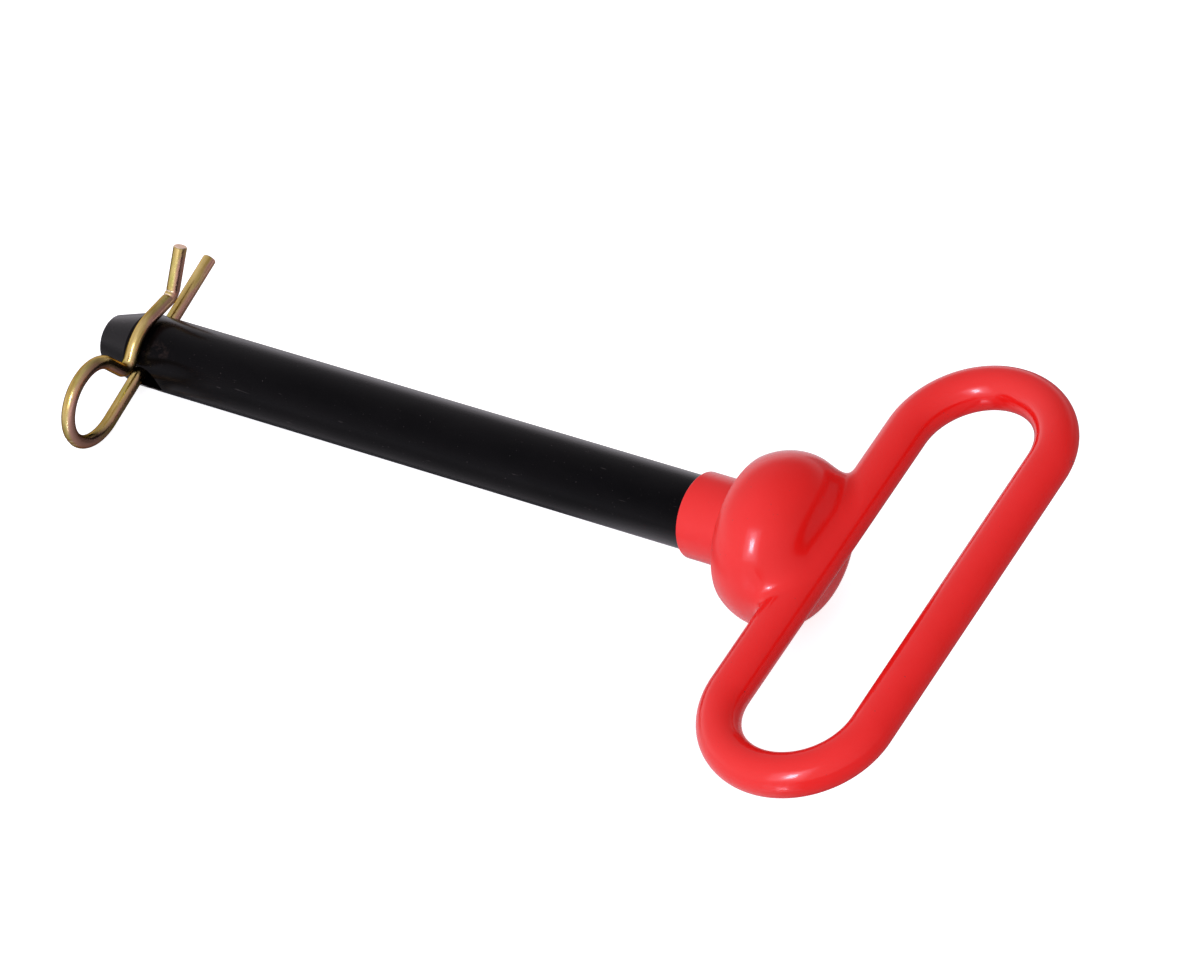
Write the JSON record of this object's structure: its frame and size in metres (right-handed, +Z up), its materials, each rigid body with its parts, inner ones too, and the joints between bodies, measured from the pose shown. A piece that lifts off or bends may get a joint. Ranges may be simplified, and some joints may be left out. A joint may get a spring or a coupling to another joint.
{
  "type": "hitch pin",
  "caption": "Straight steel hitch pin with a mushroom head, closed loop grip and a hairpin retaining clip through its cross hole.",
  "frame": {"origin": "on the surface it lies on, under the middle of the part's outline", "axes": "+X along the shank towards the grip (seen from above), +Y along the grip's rails towards the far end of the loop, +Z up; the part lies as it comes to rest, on the dome's side, the big end of the lead-in cone and the clip's ring, so the shank is nose down by 3.7 degrees and rolled by 10.4 degrees"},
  "size_m": [0.3544, 0.1815, 0.0589],
  "materials": {
    "black_steel": "black oxide, semi-matte",
    "red_coat": "gloss",
    "yellow_zinc": "bright yellow chromate over zinc"
  },
  "bodies": {
    "hitch_pin": {"pin": "black_steel", "handle": "red_coat"},
    "clip": {"hairpin_clip": "yellow_zinc"}
  },
  "joints": [
    {"name": "clip_pull", "type": "slide", "parent": "hitch_pin", "child": "clip", "axis": [-0.0193, -0.9242, -0.3813], "range_m": [0, 0.056], "deforming": ["hairpin_clip"]}
  ]
}
